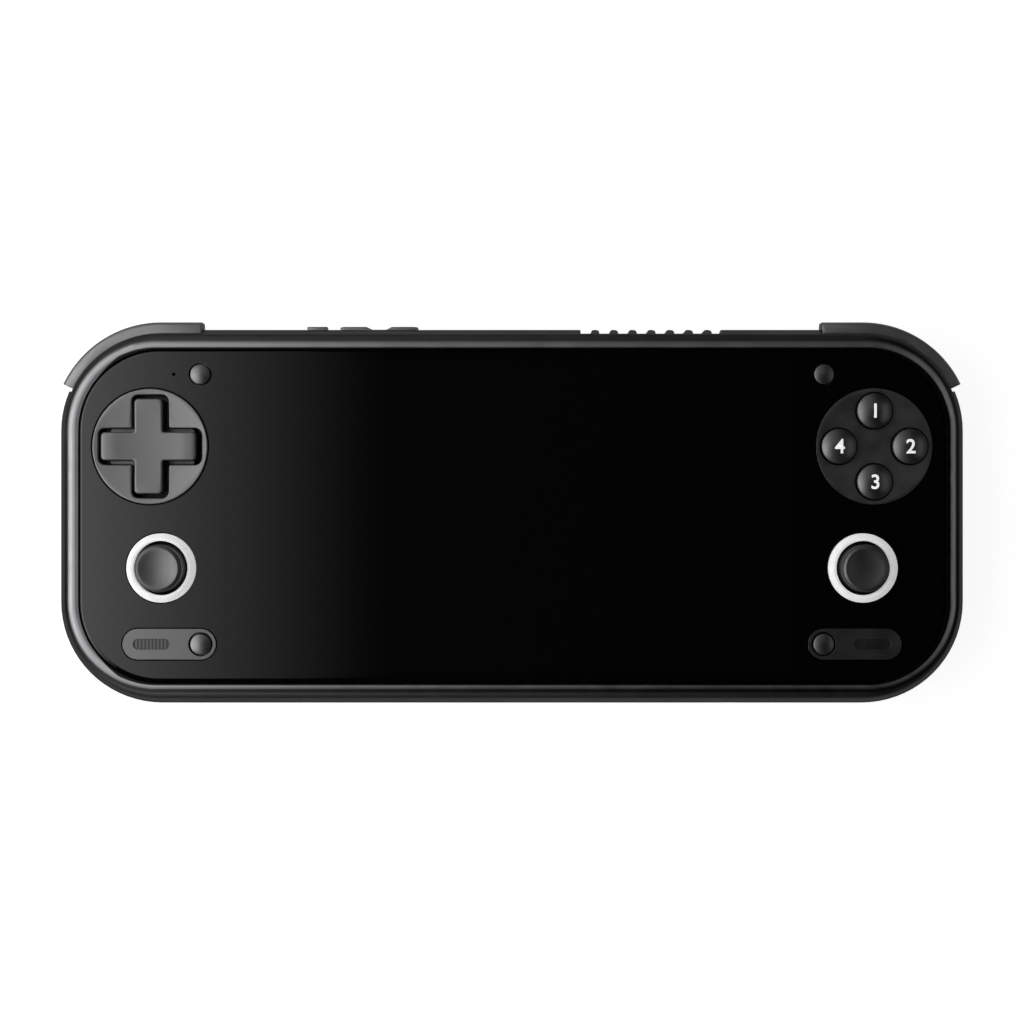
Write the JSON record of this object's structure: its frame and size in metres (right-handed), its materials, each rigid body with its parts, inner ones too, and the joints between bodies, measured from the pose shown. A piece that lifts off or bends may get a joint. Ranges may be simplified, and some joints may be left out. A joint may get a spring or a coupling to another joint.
{
  "type": "handheld game console",
  "caption": "Wide handheld game console with a one-sheet glass front, direction pad, face buttons, two sticks, shoulder keys, top-edge keys and a bottom card flap.",
  "frame": {"origin": "on the flat back, under the middle of the screen", "axes": "+X to the right of the screen, +Y to the top edge, +Z out of the glass"},
  "size_m": [0.21, 0.0889, 0.0215],
  "materials": {
    "shell": "fine matte texture",
    "glass": "gloss",
    "screen": "gloss",
    "controls": "satin",
    "bezel": "satin",
    "ring": "satin",
    "stick_rubber": "matte",
    "steel": "brushed",
    "membrane": "matte",
    "inner_plastic": "matte",
    "board": "satin lacquer",
    "copper": "satin",
    "cell": "matte film"
  },
  "bodies": {
    "case": {"front_housing": "shell", "rear_cover": "shell", "cover_glass": "glass", "display_panel": "screen", "mid_plate": "steel", "case_screws": "steel", "inner_screws": "steel", "d_pad_bezel": "bezel", "d_pad_membrane": "membrane", "face_bezel": "bezel", "face_membrane": "membrane", "left_stick_ring": "ring", "right_stick_ring": "ring", "left_stick_base": "inner_plastic", "right_stick_base": "inner_plastic", "left_speaker_plate": "bezel", "right_speaker_plate": "bezel", "left_speaker": "inner_plastic", "right_speaker": "inner_plastic", "trigger_pins": "steel", "trigger_springs": "steel", "main_board": "board", "left_board": "board", "right_board": "board", "port_board": "board", "tact_switches": "steel", "heat_sink": "copper", "fan_housing": "inner_plastic", "battery": "cell", "usb_port": "steel", "headphone_jack": "inner_plastic", "card_reader": "steel"},
    "pad_pivot": {"d_pad_pivot": "steel"},
    "pad": {"d_pad": "controls"},
    "face_top": {"face_button_top": "controls"},
    "face_right": {"face_button_right": "controls"},
    "face_bottom": {"face_button_bottom": "controls"},
    "face_left": {"face_button_left": "controls"},
    "left_yoke": {"left_stick_yoke": "steel"},
    "left_hub": {"left_stick_hub": "steel"},
    "left_stick": {"left_stick_shaft": "steel", "left_stick_cap": "stick_rubber"},
    "left_top_key": {"left_top_button": "controls"},
    "left_low_key": {"left_low_button": "controls"},
    "left_shoulder": {"left_bumper": "controls"},
    "left_pull": {"left_trigger": "controls"},
    "right_yoke": {"right_stick_yoke": "steel"},
    "right_hub": {"right_stick_hub": "steel"},
    "right_stick": {"right_stick_shaft": "steel", "right_stick_cap": "stick_rubber"},
    "right_top_key": {"right_top_button": "controls"},
    "right_low_key": {"right_low_button": "controls"},
    "right_shoulder": {"right_bumper": "controls"},
    "right_pull": {"right_trigger": "controls"},
    "power": {"power_button": "controls"},
    "volume": {"volume_rocker": "controls"},
    "fan": {"fan_rotor": "inner_plastic"},
    "flap": {"card_flap": "shell"}
  },
  "joints": [
    {"name": "pad_rock_side", "type": "hinge", "parent": "case", "child": "pad_pivot", "pos_m": [-0.08365, 0.01615, 0.0132], "axis": [0, 1, 0], "range_deg": [-5, 5], "stiffness_Nm_per_rad": 0.2, "deforming": ["d_pad_membrane"]},
    {"name": "pad_rock_up", "type": "hinge", "parent": "pad_pivot", "child": "pad", "pos_m": [-0.08365, 0.01615, 0.0132], "axis": [1, 0, 0], "range_deg": [-5, 5], "stiffness_Nm_per_rad": 0.2, "deforming": ["d_pad_membrane"]},
    {"name": "face_top_press", "type": "slide", "parent": "case", "child": "face_top", "axis": [0, 0, -1], "range_m": [0, 0.0011], "stiffness_N_per_m": 400, "deforming": ["face_membrane"]},
    {"name": "face_right_press", "type": "slide", "parent": "case", "child": "face_right", "axis": [0, 0, -1], "range_m": [0, 0.0011], "stiffness_N_per_m": 400, "deforming": ["face_membrane"]},
    {"name": "face_bottom_press", "type": "slide", "parent": "case", "child": "face_bottom", "axis": [0, 0, -1], "range_m": [0, 0.0011], "stiffness_N_per_m": 400, "deforming": ["face_membrane"]},
    {"name": "face_left_press", "type": "slide", "parent": "case", "child": "face_left", "axis": [0, 0, -1], "range_m": [0, 0.0011], "stiffness_N_per_m": 400, "deforming": ["face_membrane"]},
    {"name": "left_stick_side", "type": "hinge", "parent": "case", "child": "left_yoke", "pos_m": [-0.0811, -0.01195, 0.009], "axis": [0, 1, 0], "range_deg": [-13, 13], "stiffness_Nm_per_rad": 0.02},
    {"name": "left_stick_up", "type": "hinge", "parent": "left_yoke", "child": "left_hub", "pos_m": [-0.0811, -0.01195, 0.009], "axis": [1, 0, 0], "range_deg": [-13, 13], "stiffness_Nm_per_rad": 0.02},
    {"name": "left_stick_click", "type": "slide", "parent": "left_hub", "child": "left_stick", "axis": [0, 0, -1], "range_m": [0, 0.00035], "stiffness_N_per_m": 3000},
    {"name": "left_top_press", "type": "slide", "parent": "case", "child": "left_top_key", "axis": [0, 0, -1], "range_m": [0, 0.0004], "stiffness_N_per_m": 1500},
    {"name": "left_low_press", "type": "slide", "parent": "case", "child": "left_low_key", "axis": [0, 0, -1], "range_m": [0, 0.0004], "stiffness_N_per_m": 1500},
    {"name": "left_bumper_press", "type": "hinge", "parent": "case", "child": "left_shoulder", "pos_m": [-0.0731, 0.0387, 0.0115], "axis": [0, 0, 1], "range_deg": [0, 2], "stiffness_Nm_per_rad": 1},
    {"name": "left_trigger_pull", "type": "hinge", "parent": "case", "child": "left_pull", "pos_m": [-0.0821, 0.0386, 0.007], "axis": [-1, 0, 0], "range_deg": [0, 12], "stiffness_Nm_per_rad": 0.02},
    {"name": "right_stick_side", "type": "hinge", "parent": "case", "child": "right_yoke", "pos_m": [0.0811, -0.01195, 0.009], "axis": [0, 1, 0], "range_deg": [-13, 13], "stiffness_Nm_per_rad": 0.02},
    {"name": "right_stick_up", "type": "hinge", "parent": "right_yoke", "child": "right_hub", "pos_m": [0.0811, -0.01195, 0.009], "axis": [1, 0, 0], "range_deg": [-13, 13], "stiffness_Nm_per_rad": 0.02},
    {"name": "right_stick_click", "type": "slide", "parent": "right_hub", "child": "right_stick", "axis": [0, 0, -1], "range_m": [0, 0.00035], "stiffness_N_per_m": 3000},
    {"name": "right_top_press", "type": "slide", "parent": "case", "child": "right_top_key", "axis": [0, 0, -1], "range_m": [0, 0.0004], "stiffness_N_per_m": 1500},
    {"name": "right_low_press", "type": "slide", "parent": "case", "child": "right_low_key", "axis": [0, 0, -1], "range_m": [0, 0.0004], "stiffness_N_per_m": 1500},
    {"name": "right_bumper_press", "type": "hinge", "parent": "case", "child": "right_shoulder", "pos_m": [0.0731, 0.0387, 0.0115], "axis": [0, 0, -1], "range_deg": [0, 2], "stiffness_Nm_per_rad": 1},
    {"name": "right_trigger_pull", "type": "hinge", "parent": "case", "child": "right_pull", "pos_m": [0.0821, 0.0386, 0.007], "axis": [-1, 0, 0], "range_deg": [0, 12], "stiffness_Nm_per_rad": 0.02},
    {"name": "power_press", "type": "slide", "parent": "case", "child": "power", "axis": [0, -1, 0], "range_m": [0, 0.0004], "stiffness_N_per_m": 1500},
    {"name": "volume_rock", "type": "hinge", "parent": "case", "child": "volume", "pos_m": [-0.0309, 0.0384, 0.0115], "axis": [0, 0, 1], "range_deg": [-2, 2], "stiffness_Nm_per_rad": 0.3},
    {"name": "fan_spin", "type": "hinge", "parent": "case", "child": "fan", "pos_m": [0.0323, 0.0176, 0.006], "axis": [0, 0, 1], "continuous": true},
    {"name": "flap_open", "type": "hinge", "parent": "case", "child": "flap", "pos_m": [-0.0126, -0.04225, 0.0074], "axis": [1, 0, 0], "range_deg": [0, 90]}
  ]
}
